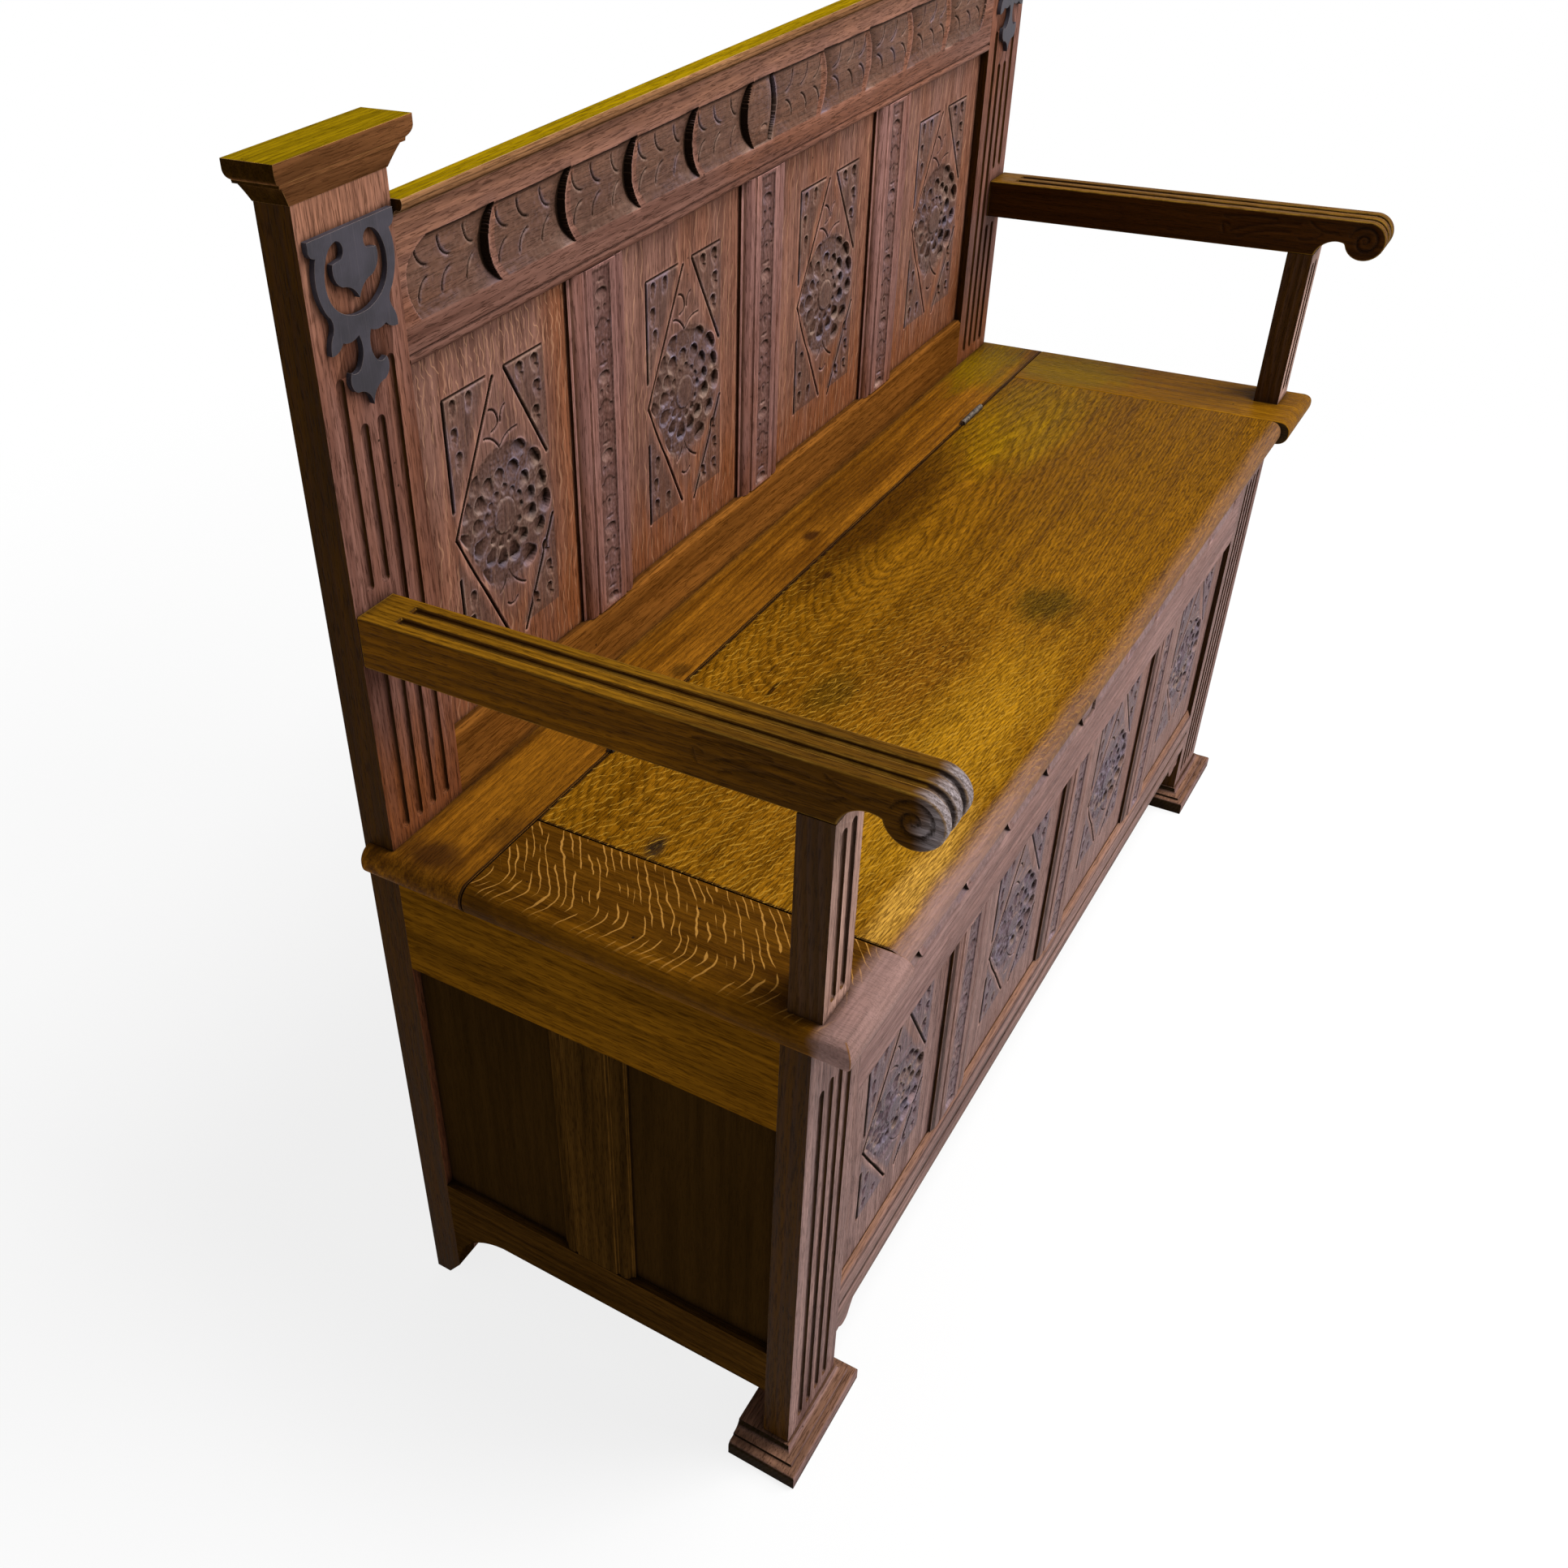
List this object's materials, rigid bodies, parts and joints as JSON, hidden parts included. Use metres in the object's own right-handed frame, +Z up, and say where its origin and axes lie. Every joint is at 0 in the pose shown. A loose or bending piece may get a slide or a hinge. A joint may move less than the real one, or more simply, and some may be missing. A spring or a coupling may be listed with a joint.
{
  "type": "hall bench",
  "caption": "Joined oak hall bench with a panelled and carved back, scrolled arms on fluted posts and a hinged seat lid over a storage box.",
  "frame": {"origin": "on the floor, under the middle of the bench's bounding box", "axes": "+X along the bench, to the right as seen from the front, +Y from front to back, +Z up"},
  "size_m": [1.14, 0.429, 0.97],
  "materials": {
    "oak_top": "waxed",
    "oak_back": "waxed",
    "oak_front": "waxed",
    "oak_side": "waxed",
    "oak_inner": "raw",
    "ebonised": "waxed",
    "steel": "tarnished"
  },
  "bodies": {
    "bench": {"back_crest_moulding": "oak_top", "back_muntin_1": "oak_back", "back_muntin_2": "oak_back", "back_muntin_3": "oak_back", "back_panel_1": "oak_back", "back_panel_2": "oak_back", "back_panel_3": "oak_back", "back_panel_4": "oak_back", "back_seat_rail": "oak_back", "back_top_rail": "oak_back", "box_floor": "oak_inner", "fixed_hinge_screws": "steel", "floor_bearers": "oak_inner", "front_bottom_rail": "oak_front", "front_brackets": "oak_front", "front_muntin_1": "oak_front", "front_muntin_2": "oak_front", "front_muntin_3": "oak_front", "front_panel_1": "oak_front", "front_panel_2": "oak_front", "front_panel_3": "oak_front", "front_panel_4": "oak_front", "front_top_rail": "oak_front", "hinge_pins": "steel", "left_arm": "oak_top", "left_arm_post": "oak_front", "left_back_stile": "oak_back", "left_front_foot": "oak_front", "left_front_post": "oak_front", "left_hinge_fixed_leaf": "steel", "left_scroll_ornament": "ebonised", "left_seat_end_board": "oak_top", "left_side_bottom_rail": "oak_side", "left_side_muntin": "oak_side", "left_side_panels": "oak_side", "left_side_top_rail": "oak_side", "left_stile_cap": "oak_top", "rear_lower_panel": "oak_inner", "rear_lower_rail": "oak_inner", "right_arm": "oak_top", "right_arm_post": "oak_front", "right_back_stile": "oak_back", "right_front_foot": "oak_front", "right_front_post": "oak_front", "right_hinge_fixed_leaf": "steel", "right_scroll_ornament": "ebonised", "right_seat_end_board": "oak_top", "right_side_bottom_rail": "oak_side", "right_side_muntin": "oak_side", "right_side_panels": "oak_side", "right_side_top_rail": "oak_side", "right_stile_cap": "oak_top", "seat_cleat": "oak_inner", "seat_rear_board": "oak_top"},
    "lid": {"lid_board": "oak_top", "lid_battens": "oak_inner", "lid_batten_screws": "steel", "left_hinge_lid_leaf": "steel", "right_hinge_lid_leaf": "steel", "lid_hinge_screws": "steel"}
  },
  "joints": [
    {"name": "lid_hinge", "type": "hinge", "parent": "bench", "child": "lid", "pos_m": [0, 0.1175, 0.5015], "axis": [-1, 0, 0], "range_deg": [0, 103]}
  ]
}
